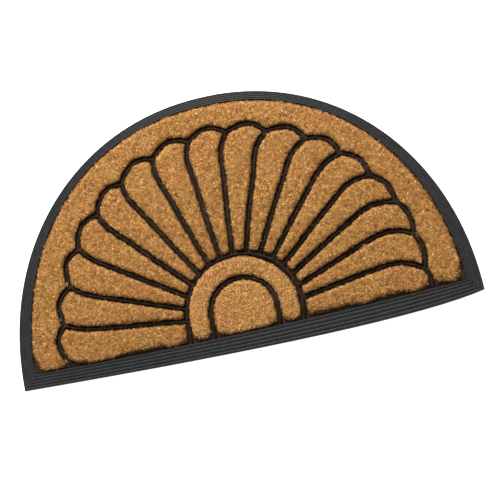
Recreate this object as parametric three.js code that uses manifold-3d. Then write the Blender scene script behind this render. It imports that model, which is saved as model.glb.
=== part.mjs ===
// Half round doormat: a moulded rubber tray with short coir brush standing in its compartments.
// Millimetres, +Z up. The mat lies on z = 0 with its straight edge towards -Y and its crown towards +Y.
// Sizes are drawn from the middle of the line between the two corners, and the finished pieces are
// shifted so that the origin is under the middle of the mat.
import * as THREE from "three";
import Module from "manifold-3d";

const wasm = await Module();
wasm.setup();

// Rubber tray
const floorThickness = 2.5;
const outerEdgeHeight = 3.2;
const innerEdgeHeight = 7.5;
const dividerHeight = 5.2;
const dividerFootWidth = 5;
const dividerTopWidth = 2.8;
const dividerOverlap = 1;
const ribGrooveDepth = 1.3;
const ribGrooveShare = 0.045;
const ribGroovePlaces = [0.2, 0.4, 0.6, 0.8];
const lipShare = 0.97;
const outerRoundDrop = 0.8;
const outerRoundShare = 0.03;

// Coir brush
const seatGap = 0.3;
const coirHeight = 12;
const coirShoulderHeight = 9;
const coirShoulderInset = 3;
const channelFootWidth = 6.8;
const channelShoulderWidth = 7.6;
const channelTopWidth = 12;

// Plan of the mat's outer edge and of the compartment's wall. The arc is a rounded superellipse that
// ends at the corners, and the straight side bows outward between them.
const outerPlan = {
  halfWidth: 350,
  crown: 376,
  roundness: 2.08,
  leftCorner: 0,
  rightCorner: 4,
  bow: 12.8,
  bowPlace: 110,
};
const wallPlan = {
  halfWidth: 329,
  crown: 361.5,
  roundness: 2.15,
  leftCorner: 21.8,
  rightCorner: 23.6,
  bow: 6.4,
  bowPlace: 0,
};
const arcSteps = 80;
const straightSteps = 16;

// Half round centre and the arch around it, each inside an arched channel with straight legs
const hubCentre = new THREE.Vector2(1.4, 48.2);
const hubSquash = 0.98;
const archRadius = 86.6;
const centreRadius = 50;
const legEnd = 8;
const archSteps = 22;

// How much wider than the others the two arched channels are, at even steps from the right leg to the
// left one. The outer one opens towards the upper right.
const archWidening = [1.4, 2.4, 4.4, 0.6, -1.6, -0.8, 1];
const centreWidening = [0.4, 0.4, -0.4, 0, 0.8, 0.8, 0.8];

// Fan of petals. Each petal's left side runs out from the arch and turns over into its own rounded tip,
// and the tip ends on the left side of the next petal. A row is the place where one tip ends, as its
// direction seen from the hub and its reach from there. The first and last rows lie under the border.
const tipEnds = [
  { direction: 183.5, reach: 277.1 },
  { direction: 172.6, reach: 272.5 },
  { direction: 160.3, reach: 266.4 },
  { direction: 147.8, reach: 268.0 },
  { direction: 135.2, reach: 265.4 },
  { direction: 122.5, reach: 266.2 },
  { direction: 109.5, reach: 265.9 },
  { direction: 96.8, reach: 265.6 },
  { direction: 84.0, reach: 266.2 },
  { direction: 71.2, reach: 267.5 },
  { direction: 58.3, reach: 269.3 },
  { direction: 46.4, reach: 270.7 },
  { direction: 34.8, reach: 270.1 },
  { direction: 23.4, reach: 272.7 },
  { direction: 12.0, reach: 272.2 },
  { direction: 0.7, reach: 271.3 },
  { direction: -8.2, reach: 276.0 },
];
const petalCount = tipEnds.length - 1;
const firstTipStart = { direction: 187.8, reach: 264 };

// Points of a petal's left side before the place where its neighbour's tip ends: the reach from the hub,
// and the turn clockwise from that place in petal widths, at the left, top and right of the fan.
const sidePoints = [
  { reach: archRadius, left: -0.46, top: -0.47, right: 0.08 },
  { reach: 150, left: -0.26, top: -0.31, right: -0.33 },
  { reach: 205, left: -0.23, top: -0.21, right: -0.49 },
  { reach: 242, left: -0.15, top: -0.19, right: -0.42 },
];

// Points of its tip after that place: the rise beyond it, and the turn, in the same way.
const tipPoints = [
  { rise: { left: 3.7, top: 5.6, right: 2.9 }, turn: { left: 0.13, top: 0.15, right: 0.20 } },
  { rise: { left: 11.3, top: 12.2, right: 4.1 }, turn: { left: 0.55, top: 0.53, right: 0.46 } },
  { rise: { left: 5.8, top: 6.5, right: 1.4 }, turn: { left: 0.85, top: 0.85, right: 0.84 } },
];
const stepsPerSidePart = 2;
const stepsPerTipPart = 4;

const rubber = new THREE.MeshStandardMaterial({ color: "#34363a", roughness: 0.62, metalness: 0 });
const coir = new THREE.MeshStandardMaterial({ color: "#bd8a4a", roughness: 0.95, metalness: 0 });

// Closed skin over rings of points. Each ring runs counter-clockwise as seen from the next one, and the
// caps are the flat shapes of the first and the last ring.
function skin(rings, firstShape, lastShape) {
  const sides = rings[0].length;
  const positions = rings.flat().flatMap((point) => [point.x, point.y, point.z]);
  const triangles = [];
  for (let ring = 0; ring + 1 < rings.length; ring++) {
    for (let side = 0; side < sides; side++) {
      const here = ring * sides + side;
      const beside = ring * sides + ((side + 1) % sides);
      triangles.push(here, beside, beside + sides);
      triangles.push(here, beside + sides, here + sides);
    }
  }
  const last = (rings.length - 1) * sides;
  for (const [a, b, c] of THREE.ShapeUtils.triangulateShape(firstShape, [])) {
    triangles.push(a, c, b);
  }
  for (const [a, b, c] of THREE.ShapeUtils.triangulateShape(lastShape, [])) {
    triangles.push(last + a, last + b, last + c);
  }
  return new wasm.Manifold(
    new wasm.Mesh({
      numProp: 3,
      vertProperties: new Float32Array(positions),
      triVerts: new Uint32Array(triangles),
    }),
  );
}

// Plan outline as points, counter-clockwise from the left corner: along the straight side, then round
// the arc. Outlines of different plans have matching points, so that a blend of two is mitred.
function outline(plan) {
  const { halfWidth, crown, roundness, leftCorner, rightCorner, bow, bowPlace } = plan;
  const arcAngle = (height) => Math.asin((height / crown) ** (roundness / 2));
  const arcPoint = (angle) => {
    const across = Math.cos(angle);
    const x = Math.sign(across) * halfWidth * Math.abs(across) ** (2 / roundness);
    return new THREE.Vector2(x, crown * Math.sin(angle) ** (2 / roundness));
  };
  const rightAngle = arcAngle(rightCorner);
  const leftAngle = Math.PI - arcAngle(leftCorner);
  const right = arcPoint(rightAngle);
  const left = leftCorner ? arcPoint(leftAngle) : new THREE.Vector2(-halfWidth, 0);
  const pull = new THREE.Vector2(2 * bowPlace, (left.y + right.y) / 2 - 2 * bow);
  const straight = new THREE.QuadraticBezierCurve(left, pull, right).getPoints(straightSteps);
  const arc = [];
  for (let step = 1; step < arcSteps; step++) {
    arc.push(arcPoint(THREE.MathUtils.lerp(rightAngle, leftAngle, step / arcSteps)));
  }
  return [...straight, ...arc];
}

const outerOutline = outline(outerPlan);
const wallOutline = outline(wallPlan);

function lift(points, height) {
  return points.map((point) => new THREE.Vector3(point.x, point.y, height));
}

// Outline moved inward square to itself.
function inset(points, distance) {
  return points.map((point, index) => {
    const before = points.at(index - 1);
    const after = points[(index + 1) % points.length];
    const intoEdge = point.clone().sub(before).normalize();
    const outOfEdge = after.clone().sub(point).normalize();
    const intoNormal = new THREE.Vector2(-intoEdge.y, intoEdge.x);
    const outOfNormal = new THREE.Vector2(-outOfEdge.y, outOfEdge.x);
    const mitre = intoNormal.clone().add(outOfNormal).normalize();
    return point.clone().addScaledVector(mitre, distance / mitre.dot(intoNormal));
  });
}

// Height of the border, which slopes up from the outer edge to the compartment.
function borderHeight(share) {
  return THREE.MathUtils.lerp(outerEdgeHeight, innerEdgeHeight, share);
}

function makeBorderedFloor() {
  const profile = [
    { share: 0, height: 0 },
    { share: 0, height: outerEdgeHeight - outerRoundDrop },
    { share: outerRoundShare, height: borderHeight(outerRoundShare) },
  ];
  for (const place of ribGroovePlaces) {
    const start = place - ribGrooveShare;
    const end = place + ribGrooveShare;
    profile.push({ share: start, height: borderHeight(start) });
    profile.push({ share: place, height: borderHeight(place) - ribGrooveDepth });
    profile.push({ share: end, height: borderHeight(end) });
  }
  profile.push({ share: lipShare, height: innerEdgeHeight });
  profile.push({ share: 1, height: floorThickness });
  const rings = profile.map(({ share, height }) =>
    lift(
      outerOutline.map((point, index) => point.clone().lerp(wallOutline[index], share)),
      height,
    ),
  );
  return skin(rings, outerOutline, wallOutline);
}

// Value at a share of the way along a row of evenly spaced values.
function along(values, share) {
  const place = share * (values.length - 1);
  const index = Math.min(Math.floor(place), values.length - 2);
  return THREE.MathUtils.lerp(values[index], values[index + 1], place - index);
}

// Straight-sided or flared body along a path in plan. A section row is a half width at a height, and
// the widening is a row of values along the path.
function channelBody(path, section, widening = [0, 0]) {
  const shape = [
    ...section.map((row) => new THREE.Vector2(row.halfWidth, row.height)),
    ...section.toReversed().map((row) => new THREE.Vector2(-row.halfWidth, row.height)),
  ];
  const rings = path.map((point, index) => {
    const before = path[Math.max(index - 1, 0)];
    const after = path[Math.min(index + 1, path.length - 1)];
    const forward = after.clone().sub(before).normalize();
    const across = new THREE.Vector2(-forward.y, forward.x);
    const wider = along(widening, index / (path.length - 1)) / 2;
    return shape.map((corner) => {
      const place = point.clone().addScaledVector(across, corner.x + Math.sign(corner.x) * wider);
      return new THREE.Vector3(place.x, place.y, corner.y);
    });
  });
  return skin(rings, shape, shape);
}

function fromHub(direction, reach) {
  const angle = THREE.MathUtils.degToRad(direction);
  return new THREE.Vector2(Math.cos(angle), Math.sin(angle)).multiplyScalar(reach).add(hubCentre);
}

// Value between those at the left, top and right of the fan.
function acrossFan({ left, top, right }, share) {
  const outer = left * (1 - share) * (1 - 2 * share) + right * share * (2 * share - 1);
  return outer + top * 4 * share * (1 - share);
}

// Left side and tip of one petal, from the arch to the next petal.
function petalPath(petal) {
  const share = petal / (petalCount - 1);
  const own = tipEnds[petal];
  const next = tipEnds[petal + 1];
  const width = own.direction - next.direction;
  const tip = tipPoints.map(({ rise, turn }) => {
    const part = acrossFan(turn, share);
    const reach = THREE.MathUtils.lerp(own.reach, next.reach, part) + acrossFan(rise, share);
    return fromHub(own.direction - width * part, reach);
  });
  const side = sidePoints.map((row) =>
    fromHub(own.direction - width * acrossFan(row, share), row.reach),
  );
  const start = petal === 0 ? [fromHub(firstTipStart.direction, firstTipStart.reach)] : side;
  const points = [
    ...start,
    fromHub(own.direction, own.reach),
    ...tip,
    fromHub(next.direction, next.reach),
  ];
  const curve = new THREE.CatmullRomCurve3(lift(points, 0), false, "centripetal");
  const path = [];
  for (let part = 0; part + 1 < points.length; part++) {
    const steps = part < start.length ? stepsPerSidePart : stepsPerTipPart;
    for (let step = 0; step < steps; step++) {
      path.push(curve.getPoint((part + step / steps) / (points.length - 1)));
    }
  }
  return [...path, curve.getPoint(1)].map((point) => new THREE.Vector2(point.x, point.y));
}

// Arched channel over the centre, with a straight leg at each end.
function archPath(radius) {
  const path = [new THREE.Vector2(hubCentre.x + radius, legEnd)];
  for (let step = 0; step <= archSteps; step++) {
    const angle = (Math.PI * step) / archSteps;
    const offset = new THREE.Vector2(Math.cos(angle), hubSquash * Math.sin(angle));
    path.push(offset.multiplyScalar(radius).add(hubCentre));
  }
  path.push(new THREE.Vector2(hubCentre.x - radius, legEnd));
  return path;
}

const petalPaths = Array.from({ length: petalCount }, (_, petal) => petalPath(petal));
const arches = [
  { path: archPath(archRadius), widening: archWidening },
  { path: archPath(centreRadius), widening: centreWidening },
];

function joined(bodies) {
  return bodies.reduce((all, body) => all.add(body));
}

const dividerSection = [
  { halfWidth: dividerFootWidth / 2, height: floorThickness - dividerOverlap },
  { halfWidth: dividerTopWidth / 2, height: dividerHeight },
];
const channelSection = [
  { halfWidth: channelFootWidth / 2, height: floorThickness - dividerOverlap },
  { halfWidth: channelShoulderWidth / 2, height: coirShoulderHeight },
  { halfWidth: channelTopWidth / 2, height: coirHeight + dividerOverlap },
];

function makeDividers() {
  const paths = [...petalPaths, ...arches.map((arch) => arch.path)];
  return joined(paths.map((path) => channelBody(path, dividerSection)));
}

function makeChannels() {
  return joined([
    ...petalPaths.map((path) => channelBody(path, channelSection)),
    ...arches.map(({ path, widening }) => channelBody(path, channelSection, widening)),
  ]);
}

function makeTray() {
  const inside = skin(
    [lift(wallOutline, floorThickness - dividerOverlap), lift(wallOutline, coirHeight)],
    wallOutline,
    wallOutline,
  );
  return makeBorderedFloor().add(makeDividers().intersect(inside));
}

// Coir over the whole compartment, with a sloped shoulder at its rim, cut apart by the channels.
function makeCoirPieces() {
  const rim = inset(wallOutline, seatGap);
  const top = inset(wallOutline, seatGap + coirShoulderInset);
  const block = skin(
    [
      lift(rim, floorThickness + seatGap),
      lift(rim, coirShoulderHeight),
      lift(top, coirHeight),
    ],
    rim,
    top,
  );
  return block.subtract(makeChannels()).decompose();
}

function planBox(body) {
  const { min, max } = body.boundingBox();
  return new THREE.Box2(new THREE.Vector2(min[0], min[1]), new THREE.Vector2(max[0], max[1]));
}

function widthOf(body) {
  return planBox(body).getSize(new THREE.Vector2()).x;
}

function directionOf(body) {
  return planBox(body).getCenter(new THREE.Vector2()).angle();
}

function nameCoirPieces(pieces) {
  const byWidth = pieces.toSorted((a, b) => widthOf(b) - widthOf(a));
  const band = byWidth[0];
  const middle = byWidth.filter((body) => {
    const box = planBox(body);
    return box.max.y < hubCentre.y + archRadius && box.min.x < 0 && box.max.x > 0;
  });
  const [arch, centre] = middle;
  const petals = pieces.filter((body) => body !== band && !middle.includes(body));
  petals.sort((a, b) => directionOf(b) - directionOf(a));
  return [
    ["coir_outer_band", band],
    ["coir_arch", arch],
    ["coir_centre", centre],
    ...petals.map((body, index) => ["coir_petal_" + String(index + 1).padStart(2, "0"), body]),
  ];
}

function toMesh(name, body, material) {
  const { vertProperties, triVerts } = body.getMesh();
  const geometry = new THREE.BufferGeometry();
  geometry.setAttribute("position", new THREE.BufferAttribute(vertProperties, 3));
  geometry.setIndex(new THREE.BufferAttribute(triVerts, 1));
  geometry.computeVertexNormals();
  const mesh = new THREE.Mesh(geometry, material);
  mesh.name = name;
  return mesh;
}

const doormat = new THREE.Group();
doormat.add(toMesh("rubber_tray", makeTray(), rubber));
for (const [name, body] of nameCoirPieces(makeCoirPieces())) {
  doormat.add(toMesh(name, body, coir));
}

// The origin goes under the middle of the mat's box.
const depths = outerOutline.map((point) => point.y);
const middleDepth = (Math.max(...depths) + Math.min(...depths)) / 2;
for (const mesh of doormat.children) {
  mesh.position.y = -middleDepth;
}

export default doormat;
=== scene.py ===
import bpy
import bmesh
import math
import numpy as np
from mathutils import Euler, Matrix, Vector, noise
from mathutils.bvhtree import BVHTree
from mathutils.kdtree import KDTree


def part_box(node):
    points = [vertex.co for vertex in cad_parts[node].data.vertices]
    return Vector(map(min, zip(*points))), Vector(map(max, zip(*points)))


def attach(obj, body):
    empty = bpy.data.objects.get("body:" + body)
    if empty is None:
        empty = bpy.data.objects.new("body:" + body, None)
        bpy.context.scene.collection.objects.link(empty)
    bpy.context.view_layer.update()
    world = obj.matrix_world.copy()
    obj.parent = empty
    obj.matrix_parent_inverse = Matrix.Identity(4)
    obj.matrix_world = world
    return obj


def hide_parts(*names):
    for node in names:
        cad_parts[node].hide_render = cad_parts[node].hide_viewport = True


# Half round doormat: brush of cut coconut fibre standing in the compartments of a moulded rubber tray.
# Metres, +Z up, the mat lying on z = 0 with its straight edge towards -Y.

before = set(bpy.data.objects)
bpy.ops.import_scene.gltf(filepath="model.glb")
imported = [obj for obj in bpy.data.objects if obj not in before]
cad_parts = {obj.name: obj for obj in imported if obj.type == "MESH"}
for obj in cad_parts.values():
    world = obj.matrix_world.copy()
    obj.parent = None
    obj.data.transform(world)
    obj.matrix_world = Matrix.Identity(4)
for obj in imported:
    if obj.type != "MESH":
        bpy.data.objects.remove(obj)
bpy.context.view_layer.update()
print("frame loaded:", len(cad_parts), "nodes")

scene = bpy.context.scene
mm = 0.001
mergeDistance = 0.01 * mm  # points of a CAD mesh nearer than this are one


# Small helpers

def hexColour(code, alpha=1.0):
    # sRGB hex to the linear values that the shaders take
    channels = [int(code[i:i + 2], 16) / 255 for i in (1, 3, 5)]
    linear = [c / 12.92 if c <= 0.04045 else ((c + 0.055) / 1.055) ** 2.4 for c in channels]
    return (*linear, alpha)


def addNode(tree, kind, settings=None, values=None, links=None):
    node = tree.nodes.new(kind)
    for name, value in (settings or {}).items():
        setattr(node, name, value)
    for name, value in (values or {}).items():
        node.inputs[name].default_value = value
    for name, source in (links or {}).items():
        tree.links.new(source, node.inputs[name])
    return node


def setStops(ramp, stops):
    # a colour ramp's stops, from place to sRGB hex
    elements = ramp.color_ramp.elements
    while len(elements) > 1:
        elements.remove(elements[-1])
    for index, (place, code) in enumerate(stops.items()):
        element = elements[0] if index == 0 else elements.new(place)
        element.position = place
        element.color = hexColour(code)


def newMaterial(name):
    material = bpy.data.materials.new(name)
    material.use_nodes = True
    material.node_tree.nodes.clear()
    return material, material.node_tree


def linkObject(name, mesh):
    obj = bpy.data.objects.new(name, mesh)
    scene.collection.objects.link(obj)
    return obj


def giveMaterial(obj, material):
    obj.data.materials.clear()
    obj.data.materials.append(material)


def givePointValues(mesh, name, values):
    # one number for each vertex, which a material reads by the name
    attribute = mesh.attributes.new(name, "FLOAT", "POINT")
    attribute.data.foreach_set("value", np.asarray(values, np.float32))


# Camera, high over the mat, a little to its right and in front of it, and turned a little

camera = {
    "place": (0.2686, -0.2725, 2.0506),  # m
    "turn": (4.684, 7.848, -11.958),  # degrees about X, Y and Z
    "lens": 100.8,  # mm
    "sensor": 36.0,  # mm
}

cameraData = bpy.data.cameras.new("studioCamera")
cameraData.lens = camera["lens"]
cameraData.sensor_width = camera["sensor"]
cameraObject = bpy.data.objects.new("studioCamera", cameraData)
cameraObject.location = camera["place"]
cameraObject.rotation_euler = Euler([math.radians(a) for a in camera["turn"]], "XYZ")
scene.collection.objects.link(cameraObject)
scene.camera = cameraObject
print("camera placed")


# Studio: pale floor, white surroundings and one large soft light from beyond the crown

studio = {
    "floorColour": "#f7f7f6",
    "floorGlow": 0.72,  # light of its own
    "floorSize": 60.0,  # m, so that low views see no edge
    "surroundings": 0.58,  # strength of the white all round
    "keyDirection": (-0.12, 1.05, 0.95),  # from the mat to the lamp
    "keyDistance": 2.4,  # m
    "keySize": 1.0,  # m
    "keyPower": 124.0,  # W
}


def makeStudio():
    floorMesh = bpy.data.meshes.new("studioFloor")
    bm = bmesh.new()
    bmesh.ops.create_grid(bm, x_segments=1, y_segments=1, size=studio["floorSize"] / 2)
    bm.to_mesh(floorMesh)
    bm.free()
    floor = linkObject("studio_floor", floorMesh)
    # matte white paper: no gloss, and bright enough to lose the mat's shadow as a light table does
    material, tree = newMaterial("whitePaperFloor")
    shader = addNode(tree, "ShaderNodeBsdfPrincipled", values={
        "Base Color": hexColour(studio["floorColour"]),
        "Roughness": 1.0,
        "Specular IOR Level": 0.0,
        "Emission Color": (1.0, 1.0, 1.0, 1.0),
        "Emission Strength": studio["floorGlow"],
    })
    addNode(tree, "ShaderNodeOutputMaterial", links={"Surface": shader.outputs["BSDF"]})
    giveMaterial(floor, material)

    world = bpy.data.worlds.new("whiteStudio")
    world.use_nodes = True
    background = world.node_tree.nodes["Background"]
    background.inputs["Color"].default_value = (1.0, 1.0, 1.0, 1.0)
    background.inputs["Strength"].default_value = studio["surroundings"]
    scene.world = world

    light = bpy.data.lights.new("softKey", "AREA")
    light.shape = "DISK"
    light.size = studio["keySize"]
    light.energy = studio["keyPower"]
    lamp = bpy.data.objects.new("softKey", light)
    direction = Vector(studio["keyDirection"]).normalized()
    lamp.location = direction * studio["keyDistance"]
    lamp.rotation_euler = direction.to_track_quat("Z", "Y").to_euler()
    scene.collection.objects.link(lamp)
    scene.view_settings.view_transform = "Standard"


makeStudio()
print("studio made")


# Coir brush: husk fibre of the coconut, cut short and bonded upright in the rubber. It gives the eye a
# golden brown nap of stiff matte fibres in small tufts, paler on top; painted shade makes the bed between
# the fibres and the fibres low on the sides brown to nearly black.

coirBrush = {
    "voxel": 2.2,  # mm, mesh size of the bed that the fibres stand in
    "roundings": 10,  # passes of smoothing, which round the bed's shoulders and corners
    "bedDrop": 1.5,  # mm, how far the bed lies under the pile's height
    "rim": {"drop": 5.4, "reach": 8.5},  # mm, how the brush falls away at the tray's wall
    "side": {"drop": 1.3, "reach": 6.0},  # mm, the same beside a channel
    "corner": {"drop": 7.5, "reach": 15.0},  # mm, the same where a channel meets the wall
    "mitre": {"drop": 6.0, "reach": 20.0},  # mm, the same in the compartment's two sharp corners
    "deepest": 6.5,  # mm, the most that it falls away
    "steepNormal": 0.4,  # upward share of the normal, under which a face is a side
    "channelFromWall": 1.5,  # mm, sides nearer than this face the wall
    "raggedEdge": 1.2,  # mm, how far the sides waver
    "raggedSize": 6.0,  # mm
    "lumpSize": 4.6,  # mm
    "lumpHeight": 1.1,  # mm
    "lumpDetail": (0.9, 2.0, 3),  # how fast the finer lumps fade, their ratio and their count
    "bedGrainDepth": 0.8,  # mm
    "bedGrainStrength": 0.9,
    "seed": 7,
}

coirFibres = {
    "perSquareMm": 1.12,
    "width": (0.4, 0.7),  # mm, a little coarser than husk fibre so that it shows
    "length": (2.4, 4.4),  # mm
    "lean": (14.0, 64.0),  # degrees from upright
    "rootDepth": 0.9,  # mm under the bed
    "lowestRoot": 5.5,  # mm above the floor
    "tuftSize": 5.0,  # mm, over which fibres lean alike
    "tuftTurn": 9.0,  # radians, how far the lean turns from tuft to tuft
    "ownTurn": 0.75,  # radians, how far a fibre strays from its tuft
    "steepest": 0.6,  # fall of the normal's upward share at which a side counts as fully steep
    "sideStand": 0.9,  # how upright the side fibres stand, against straight out of the side
    "sideLean": 0.5,  # share of the lean that is lost there
    "shortest": 0.45,  # share of the length that is left there
    "wisps": 0.32,  # share of the side fibres that keep their whole length
    "paler": 0.0,  # added to every fibre's tone
}

# tones run from 0, nearly black, to 1, pale straw
coirTone = {
    # painted shade: the bed seen between the fibres is dark brown, for the shade deep in the pile
    "bed": 0.13,
    "fibre": 0.5,
    "ownSpread": 0.18,  # how much single fibres differ
    "tuftSpread": 1.1,  # how much tufts differ
    "tuftSize": 3.8,  # mm
    "grainSpread": 2.8,  # how much the husk's darker and paler grain changes it
    "grainSize": 3.4,  # mm
    "fleckSize": 2.4,  # mm, dark and pale flecks of a few fibres
    "fleckStart": 0.3,  # the noise's height at which a fleck starts
    "fleckDepth": 0.5,
    "sideDepth": (1.0, 3.7),  # mm under the bed's top, between which the painted shade on the sides deepens
    "paintedSideShade": 0.55,  # painted shade: how much darker the fibres low on the sides are
    "hub": {"x": 1.4, "y": -134.4},  # mm in the mat's plan, where the petals meet
    "hubReach": (88.0, 200.0),  # mm from the hub, between which the petals get more dark flecks as painted shade
    # painted shade: how many more dark flecks the petals' narrow ends get near the hub
    "hubShadeFlecks": 0.26,
    "hubPaler": 0.4,  # added on the arch and the centre
    "patchSize": 60.0,  # mm, warmer and cooler patches of the whole brush
    "stops": {
        0.0: "#2b1909", 0.12: "#7f5828", 0.4: "#c9964f", 0.7: "#e3b66a", 0.9: "#f1cb87", 1.0: "#f8dda8",
    },
    "patchStops": {0.35: "#fff1e6", 0.65: "#fcf7e4"},
}

# where each pattern is taken from the noise, so that no two run together
noisePlaces = {"tuftTone": 0.0, "fleck": 20.0, "tuftTurn": 50.0}

# small bits of dark husk in the pile: place in the mat's plan and size, in mm
huskSpecks = [
    {"x": -295.5, "y": -48.9, "radius": 2.6},
    {"x": -157.9, "y": -144.7, "radius": 1.8},
]


def makeCutCoir(name, forFibres):
    material, tree = newMaterial(name)
    values = coirTone
    place = addNode(tree, "ShaderNodeTexCoord").outputs["Object"]
    ownTone = addNode(tree, "ShaderNodeAttribute", {"attribute_name": "tone"})
    shownTone = ownTone.outputs["Fac"]
    grain = addNode(tree, "ShaderNodeTexNoise", values={
        "Scale": 1 / (values["grainSize"] * mm), "Detail": 2.0, "Roughness": 0.6,
    }, links={"Vector": place})
    if forFibres:
        # each fibre's own tone is broken up by the husk's darker and paler grain
        shift = addNode(tree, "ShaderNodeMapRange", values={
            "To Min": -values["grainSpread"] / 2, "To Max": values["grainSpread"] / 2,
        }, links={"Value": grain.outputs["Fac"]})
        mixed = addNode(tree, "ShaderNodeMath", {"operation": "ADD"}, links={
            0: shownTone, 1: shift.outputs["Result"],
        })
        shownTone = mixed.outputs["Value"]
    ramp = addNode(tree, "ShaderNodeValToRGB", links={"Fac": shownTone})
    setStops(ramp, values["stops"])
    patch = addNode(tree, "ShaderNodeTexNoise", values={
        "Scale": 1 / (values["patchSize"] * mm), "Detail": 3.0, "Roughness": 0.6,
    }, links={"Vector": place})
    warmth = addNode(tree, "ShaderNodeValToRGB", links={"Fac": patch.outputs["Fac"]})
    setStops(warmth, values["patchStops"])
    colour = addNode(tree, "ShaderNodeMix", {"data_type": "RGBA", "blend_type": "MULTIPLY"}, values={
        "Factor": 1.0,
    }, links={"A": ramp.outputs["Color"], "B": warmth.outputs["Color"]})
    shader = addNode(tree, "ShaderNodeBsdfPrincipled", values={
        "IOR": 1.53, "Metallic": 0.0, "Roughness": 0.8, "Specular IOR Level": 0.25,
    }, links={"Base Color": colour.outputs["Result"]})
    if not forFibres:
        bump = addNode(tree, "ShaderNodeBump", values={
            "Strength": coirBrush["bedGrainStrength"], "Distance": coirBrush["bedGrainDepth"] * mm,
        }, links={"Height": grain.outputs["Fac"]})
        tree.links.new(bump.outputs["Normal"], shader.inputs["Normal"])
    addNode(tree, "ShaderNodeOutputMaterial", links={"Surface": shader.outputs["BSDF"]})
    return material


bondedCoirBed = makeCutCoir("bondedCoirBed", False)
cutCoirFibre = makeCutCoir("cutCoirFibre", True)


compartment = {
    "lipBand": 0.1,  # mm, points this near the tray's highest are on its lip
    "steepNormal": 0.3,  # upward share of the normal, under which a face is wall
    "slack": 0.1,  # mm, how far outside the wall still counts as inside
}


def findWall():
    # the tray's wall round the compartment: its steep faces that reach up to the lip, facing inward
    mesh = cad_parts["rubber_tray"].data
    points = [vertex.co for vertex in mesh.vertices]
    lip = max(point.z for point in points) - compartment["lipBand"] * mm
    steep = [face for face in mesh.polygons if abs(face.normal.z) < compartment["steepNormal"]]
    faces = [tuple(face.vertices) for face in steep if any(points[i].z > lip for i in face.vertices)]
    rim = [point.copy() for point in points if point.z > lip]
    sharpCorners = [min(rim, key=lambda point: point.x), max(rim, key=lambda point: point.x)]
    return BVHTree.FromPolygons(points, faces), lip, sharpCorners


wallTree, lipHeight, mitres = findWall()
print("compartment's sharp corners at", [tuple(round(value / mm, 1) for value in spot) for spot in mitres])


def insideWall(point):
    spot, facing = wallTree.find_nearest(point)[:2]
    return (point - spot).dot(facing) > -compartment["slack"] * mm


def distanceToWall(point):
    return wallTree.find_nearest((point.x, point.y, lipHeight))[3]


def topOf(node):
    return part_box(node)[1][2] - coirBrush["bedDrop"] * mm


def sideShare(heights, top):
    # how far down the sides places are, from 0 on the top to 1, for the painted shade there
    start, end = coirTone["sideDepth"]
    return np.clip(((top - heights) / mm - start) / (end - start), 0, 1)


def mergedCopy(name, node):
    # a CAD solid's mesh is loose triangles, and its copy is merged into one skin
    copy = linkObject(name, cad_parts[node].data.copy())
    bm = bmesh.new()
    bm.from_mesh(copy.data)
    bmesh.ops.remove_doubles(bm, verts=bm.verts, dist=mergeDistance)
    return copy, bm


def remeshSolid(node):
    # the CAD solid's own form in a fine even mesh, with its edges rounded
    bed, bm = mergedCopy(node + "_bed", node)
    bm.to_mesh(bed.data)
    bm.free()
    remesh = bed.modifiers.new("voxels", "REMESH")
    remesh.mode = "VOXEL"
    remesh.voxel_size = coirBrush["voxel"] * mm
    remesh.use_smooth_shade = True
    soften = bed.modifiers.new("soften", "SMOOTH")
    soften.factor = 0.5
    soften.iterations = coirBrush["roundings"]
    shape = bpy.data.meshes.new_from_object(bed.evaluated_get(bpy.context.evaluated_depsgraph_get()))
    bed.modifiers.clear()
    bed.data = shape
    return bed


def findChannels(mesh, outward, walls):
    # the bed's sides that face a channel, in plan
    beside = [vertex.co for vertex, normal, wall in zip(mesh.vertices, outward, walls)
              if abs(normal.z) < coirBrush["steepNormal"] and wall > coirBrush["channelFromWall"] * mm]
    channels = KDTree(len(beside))
    for index, spot in enumerate(beside):
        channels.insert((spot.x, spot.y, 0), index)
    channels.balance()
    return channels


def fallOf(place, wall, channel):
    # how far the brush falls away at a place, in mm, by its nearness to the wall, a channel and a corner
    def nearness(distance, part):
        return max(0, 1 - distance / (coirBrush[part]["reach"] * mm))

    mitre = min((place.xy - spot.xy).length for spot in mitres)
    fall = coirBrush["rim"]["drop"] * nearness(wall, "rim") ** 2
    fall += coirBrush["side"]["drop"] * nearness(channel, "side") ** 2
    fall += coirBrush["corner"]["drop"] * nearness(wall, "corner") * nearness(channel, "corner")
    fall += coirBrush["mitre"]["drop"] * nearness(mitre, "mitre")
    return min(fall, coirBrush["deepest"])


def makeBed(node):
    # what the fibres stand in: the solid's form, rounded, a little lumpy on top and ragged at its sides
    values = coirBrush
    low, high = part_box(node)
    height = high[2] - low[2]
    bed = remeshSolid(node)
    shape = bed.data
    outward = [vertex.normal.copy() for vertex in shape.vertices]
    walls = [distanceToWall(vertex.co) for vertex in shape.vertices]
    channels = findChannels(shape, outward, walls)
    for vertex, normal, wall in zip(shape.vertices, outward, walls):
        share = (vertex.co.z - low[2]) / height
        waver = noise.noise(vertex.co / (values["raggedSize"] * mm)) * values["raggedEdge"] * mm
        lump = noise.fractal(vertex.co / (values["lumpSize"] * mm), *values["lumpDetail"])
        channel = channels.find((vertex.co.x, vertex.co.y, 0))[2]
        # the whole height over a place sinks in proportion, so that no ridge is left at the wall
        drop = values["bedDrop"] + fallOf(vertex.co, wall, channel) - lump * values["lumpHeight"]
        vertex.co.z -= drop * mm * share
        side = Vector((normal.x, normal.y, 0))
        # the lower half only wavers inward, clear of the dividers
        vertex.co += side * (min(waver, 0) if share < 0.5 else waver)
    shape.update()
    # painted shade: between the fibres the bed is dark brown, and nearly black low on its sides
    heights = np.array([vertex.co.z for vertex in shape.vertices])
    givePointValues(shape, "tone", coirTone["bed"] * (1 - sideShare(heights, topOf(node))))
    return bed


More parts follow.
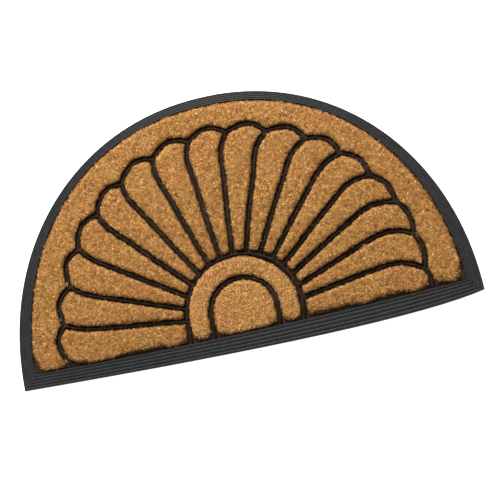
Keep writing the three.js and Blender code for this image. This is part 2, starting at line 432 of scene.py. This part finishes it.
def scatterPoints(mesh, random):
    # roots on the bed's top and shoulders, spread evenly by area, with their normals
    mesh.calc_loop_triangles()
    triangles = np.empty(len(mesh.loop_triangles) * 3, np.int32)
    mesh.loop_triangles.foreach_get("vertices", triangles)
    points = np.empty(len(mesh.vertices) * 3)
    mesh.vertices.foreach_get("co", points)
    corners = points.reshape(-1, 3)[triangles.reshape(-1, 3)]
    cross = np.cross(corners[:, 1] - corners[:, 0], corners[:, 2] - corners[:, 0])
    doubleArea = np.linalg.norm(cross, axis=1)
    normal = cross / np.maximum(doubleArea, 1e-18)[:, None]
    facesUp = normal[:, 2] > 0.1
    highEnough = corners[:, :, 2].mean(axis=1) > coirFibres["lowestRoot"] * mm
    weight = np.where(facesUp & highEnough, doubleArea, 0)
    count = int(weight.sum() / 2 / (mm * mm) * coirFibres["perSquareMm"])
    chosen = random.choice(len(weight), count, p=weight / weight.sum())
    # an even random spot in each chosen triangle
    a = np.sqrt(random.random(count))[:, None]
    b = random.random(count)[:, None]
    c = corners[chosen]
    return c[:, 0] * (1 - a) + c[:, 1] * a * (1 - b) + c[:, 2] * a * b, normal[chosen]


def crossUnit(a, b):
    product = np.cross(a, b)
    return product / np.maximum(np.linalg.norm(product, axis=1), 1e-12)[:, None]


def noiseAt(places, size, pattern):
    # smooth noise from -1 to 1 at the places, in patches of the size in mm
    start = Vector((noisePlaces[pattern], 0, 0))
    return np.array([noise.noise(Vector(place) / (size * mm) + start) for place in places])


def meshFromArrays(name, vertices, faces):
    mesh = bpy.data.meshes.new(name)
    mesh.vertices.add(len(vertices))
    mesh.vertices.foreach_set("co", vertices.ravel())
    mesh.loops.add(faces.size)
    mesh.loops.foreach_set("vertex_index", faces.ravel().astype(np.int32))
    mesh.polygons.add(len(faces))
    mesh.polygons.foreach_set("loop_start", np.arange(0, faces.size, faces.shape[1], dtype=np.int32))
    mesh.update(calc_edges=True)
    return mesh


def toneFibres(place, top, paler, random):
    # one tone for each fibre, from its tuft, its flecks, its place on the mat, and painted shade by its
    # depth on the sides
    values = coirTone
    tone = values["fibre"] + paler + values["ownSpread"] * random.standard_normal(len(place))
    tone += values["tuftSpread"] * noiseAt(place, values["tuftSize"], "tuftTone")
    fleck = noiseAt(place, values["fleckSize"], "fleck")
    fromHub = np.hypot(place[:, 0] / mm - values["hub"]["x"], place[:, 1] / mm - values["hub"]["y"])
    nearest, farthest = values["hubReach"]
    # painted shade: more dark flecks on the petals' narrow ends near the hub
    hubShade = np.clip((farthest - fromHub) / (farthest - nearest), 0, 1) * (fromHub > nearest)
    tone[fleck > values["fleckStart"] - values["hubShadeFlecks"] * hubShade] -= values["fleckDepth"]
    tone[fleck < -values["fleckStart"]] += values["fleckDepth"]
    tone[fromHub < nearest] += values["hubPaler"]
    # painted shade: fibres low on the sides are darkened
    tone = np.clip(tone, 0, 1) - values["paintedSideShade"] * sideShare(place[:, 2], top)
    for speck in huskSpecks:
        away = np.hypot(place[:, 0] / mm - speck["x"], place[:, 1] / mm - speck["y"])
        tone[away < speck["radius"]] = 0
    return np.clip(tone, 0, 1)


def makeFibres(name, place, normal, top, values, random):
    # each fibre is a thin three-sided spike, closed at its root, and all are joined into one mesh
    count = len(place)

    def between(pair):
        return pair[0] + (pair[1] - pair[0]) * random.random(count)

    steep = np.clip((1 - normal[:, 2]) / values["steepest"], 0, 1)
    lean = (np.radians(between(values["lean"])) * (1 - values["sideLean"] * steep))[:, None]
    turn = noiseAt(place, values["tuftSize"], "tuftTurn") * values["tuftTurn"]
    turn += random.normal(0, values["ownTurn"], count)
    heading = np.stack([np.cos(turn), np.sin(turn), np.zeros(count)], axis=1)
    stem = normal + np.array([0, 0, values["sideStand"]])
    stem /= np.linalg.norm(stem, axis=1)[:, None]
    sideways = crossUnit(np.cross(stem, heading), stem)
    along = stem * np.cos(lean) + sideways * np.sin(lean)
    kept = 1 - (1 - values["shortest"]) * steep * (random.random(count) > values["wisps"])
    length = between(values["length"]) * kept
    root = place - normal * values["rootDepth"] * mm
    # shifted a little, for fibres that stand along the normal
    across = crossUnit(along, normal + 1e-3)
    beside = np.cross(along, across)
    radius = between(values["width"])[:, None] * mm / 2
    vertices = np.empty((count, 4, 3))
    for corner in range(3):
        angle = corner * 2 * math.pi / 3
        vertices[:, corner] = root + radius * (math.cos(angle) * across + math.sin(angle) * beside)
    vertices[:, 3] = root + along * length[:, None] * mm
    faces = np.array([[0, 2, 1], [0, 1, 3], [1, 2, 3], [2, 0, 3]])
    faces = (faces[None] + (np.arange(count) * 4)[:, None, None]).reshape(-1, 3)
    mesh = meshFromArrays(name, vertices.reshape(-1, 3), faces)
    givePointValues(mesh, "tone", np.repeat(toneFibres(place, top, values["paler"], random), 4))
    fibres = linkObject(name, mesh)
    giveMaterial(fibres, cutCoirFibre)
    return fibres


# pale strands shed by the brush, which lie across the dividers: places in the mat's plan, in mm
looseStrands = {
    "places": [(-253.0, -38.4), (-277.2, -88.2), (-278.3, -154.5), (272.7, -78.3), (195.3, -79.7)],
    "height": 5.4,  # mm above the floor, on the dividers
    "spread": 1.6,  # mm
    "perPlace": 9,
    "fibres": {"lean": (62.0, 84.0), "length": (3.5, 6.5), "paler": 0.35},  # instead of coirFibres' own
}


def makeLooseStrands(random):
    values = looseStrands
    spots = np.repeat(np.array(values["places"]), values["perPlace"], axis=0)
    spots += random.normal(0, values["spread"], spots.shape)
    place = np.column_stack([spots, np.full(len(spots), values["height"])]) * mm
    normal = np.tile([0.0, 0.0, 1.0], (len(spots), 1))
    strands = makeFibres("loose_strands", place, normal, 0.0, {**coirFibres, **values["fibres"]}, random)
    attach(strands, "root")
    return strands


# a bed and its fibres for every coir solid, and last the loose strands
random = np.random.default_rng(coirBrush["seed"])
beds = {}
for node in sorted(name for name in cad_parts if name.startswith("coir_")):
    bed = beds[node] = makeBed(node)
    giveMaterial(bed, bondedCoirBed)
    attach(bed, "root")
    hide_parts(node)
    place, normal = scatterPoints(bed.data, random)
    # the outer band's fibres are kept in two meshes, left and right
    halves = {"": np.full(len(place), True)}
    if node == "coir_outer_band":
        halves = {"_left": place[:, 0] < 0, "_right": place[:, 0] >= 0}
    for ending, part in halves.items():
        name = node + "_fibres" + ending
        fibres = makeFibres(name, place[part], normal[part], topOf(node), coirFibres, random)
        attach(fibres, "root")
makeLooseStrands(random)


# Rubber tray: ground tyre and natural rubber, pressed hot in a mould. It gives the eye a dull charcoal
# with a weak wide sheen on the ribs, a fine orange-peel skin and brown fibre dust in the channels, where
# painted shade makes the thin dust nearly black.

rubberTray = {
    "colour": "#1d1d1d",
    "wornColour": "#2d2c2c",
    # painted shade: the thin dust in the channels is nearly black, darker than the rubber
    "shadedDustColour": "#170f09",
    "heavyDustColour": "#362619",  # where more shed fibre has gathered
    "roughness": (0.47, 0.67),  # from the smoothest to the most worn
    "dustRoughness": 0.85,
    "gloss": 0.14,  # specular level, low because the pressed skin is dusty
    "skinGrain": 0.9,  # mm, size of the moulded skin's grain
    "skinDepth": 0.15,  # mm
    "skinStrength": 0.35,
    "wearStreak": 7.0,  # mm, size of the paler handling marks
    "wearRange": (0.35, 0.75),  # the marks' noise, from the plain colour to the worn one
    "dustRange": (0.45, 0.68),  # the same for the thin dust with its painted shade and for heavy dust
    "dustAndShadeHeight": 5.8,  # mm above the floor, up to which the channels get fibre dust and painted shade
    "edgeRound": 0.45,  # mm, on the ribs and the lip
    "leastFold": 12.0,  # degrees, edges that fold less aren't rounded
    "levelWithin": 0.01,  # mm, how level a rib's edge is
    "lowestEdge": 0.5,  # mm above the floor
    "flatAngle": 4.0,  # degrees, triangles this near to flat are joined before the rounding
    "joinShape": 80.0,  # degrees, how skewed a joined face may be
    "sharpAngle": 32.0,  # degrees, folds over this stay crisp
}


def makeMouldedRubber():
    values = rubberTray
    material, tree = newMaterial("mouldedRubber")
    place = addNode(tree, "ShaderNodeTexCoord").outputs["Object"]
    wear = addNode(tree, "ShaderNodeTexNoise", values={
        "Scale": 1 / (values["wearStreak"] * mm), "Detail": 5.0, "Roughness": 0.65,
    }, links={"Vector": place})
    wearRamp = addNode(tree, "ShaderNodeValToRGB", links={"Fac": wear.outputs["Fac"]})
    setStops(wearRamp, dict(zip(values["wearRange"], (values["colour"], values["wornColour"]))))
    # fibre dust in the channels, with painted shade
    dustAndShade = addNode(tree, "ShaderNodeAttribute", {"attribute_name": "dustAndShade"})
    dustAndShadeRamp = addNode(tree, "ShaderNodeValToRGB", links={"Fac": wear.outputs["Fac"]})
    setStops(dustAndShadeRamp, dict(zip(values["dustRange"], (values["shadedDustColour"], values["heavyDustColour"]))))
    colour = addNode(tree, "ShaderNodeMix", {"data_type": "RGBA"}, links={"Factor": dustAndShade.outputs["Fac"]})
    tree.links.new(wearRamp.outputs["Color"], colour.inputs["A"])
    tree.links.new(dustAndShadeRamp.outputs["Color"], colour.inputs["B"])
    grain = addNode(tree, "ShaderNodeTexNoise", values={
        "Scale": 1 / (values["skinGrain"] * mm), "Detail": 3.0, "Roughness": 0.5,
    }, links={"Vector": place})
    bump = addNode(tree, "ShaderNodeBump", values={
        "Strength": values["skinStrength"], "Distance": values["skinDepth"] * mm,
    }, links={"Height": grain.outputs["Fac"]})
    smoothest, mostWorn = values["roughness"]
    worn = addNode(tree, "ShaderNodeMapRange", values={"To Min": smoothest, "To Max": mostWorn}, links={
        "Value": wear.outputs["Fac"],
    })
    roughness = addNode(tree, "ShaderNodeMapRange", values={"To Max": values["dustRoughness"]}, links={
        "Value": dustAndShade.outputs["Fac"], "To Min": worn.outputs["Result"],
    })
    shader = addNode(tree, "ShaderNodeBsdfPrincipled", values={
        "IOR": 1.52, "Metallic": 0.0, "Specular IOR Level": values["gloss"],
    }, links={
        "Base Color": colour.outputs["Result"],
        "Roughness": roughness.outputs["Result"],
        "Normal": bump.outputs["Normal"],
    })
    addNode(tree, "ShaderNodeOutputMaterial", links={"Surface": shader.outputs["BSDF"]})
    return material


def runsAlongRib(edge):
    # a level edge with a fold in it, on the border or its lip
    values = rubberTray
    low, high = sorted(vertex.co.z for vertex in edge.verts)
    if high - low > values["levelWithin"] * mm or low < values["lowestEdge"] * mm:
        return False
    if not edge.is_manifold or edge.calc_face_angle() < math.radians(values["leastFold"]):
        return False
    return low > lipHeight or not any(insideWall(vertex.co) for vertex in edge.verts)


def makeTray():
    # the CAD solid with its moulded edges rounded, and a map of where fibre dust and painted shade lie
    values = rubberTray
    tray, bm = mergedCopy("moulded_tray", "rubber_tray")
    border = [face for face in bm.faces if not insideWall(face.calc_center_median())]
    bmesh.ops.join_triangles(bm, faces=border, angle_face_threshold=math.radians(values["flatAngle"]),
                             angle_shape_threshold=math.radians(values["joinShape"]))
    ribs = [edge for edge in bm.edges if runsAlongRib(edge)]
    bmesh.ops.bevel(bm, geom=ribs, offset=values["edgeRound"] * mm, offset_type="OFFSET", segments=2,
                    profile=0.5, affect="EDGES", clamp_overlap=True, material=-1)
    bmesh.ops.triangulate(bm, faces=bm.faces)
    bm.to_mesh(tray.data)
    onFloor = 0.1 * mm
    underside = sum(face.calc_area() for face in bm.faces if face.calc_center_median().z < onFloor)
    print("tray ribs rounded:", len(ribs), "edges,", len(bm.faces), "faces, open edges:",
          sum(not edge.is_manifold for edge in bm.edges))
    bm.free()
    tray.data.shade_smooth()
    tray.data.set_sharp_from_angle(angle=math.radians(values["sharpAngle"]))
    # fibre dust and painted shade in the channels, below the dust height
    dustAndShade = [float(vertex.co.z < values["dustAndShadeHeight"] * mm and insideWall(vertex.co))
            for vertex in tray.data.vertices]
    givePointValues(tray.data, "dustAndShade", dustAndShade)
    return tray, underside


tray, underside = makeTray()
giveMaterial(tray, makeMouldedRubber())
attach(tray, "root")
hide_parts("rubber_tray")
print("rubber tray finished, flat area", round(underside, 4), "square metres")
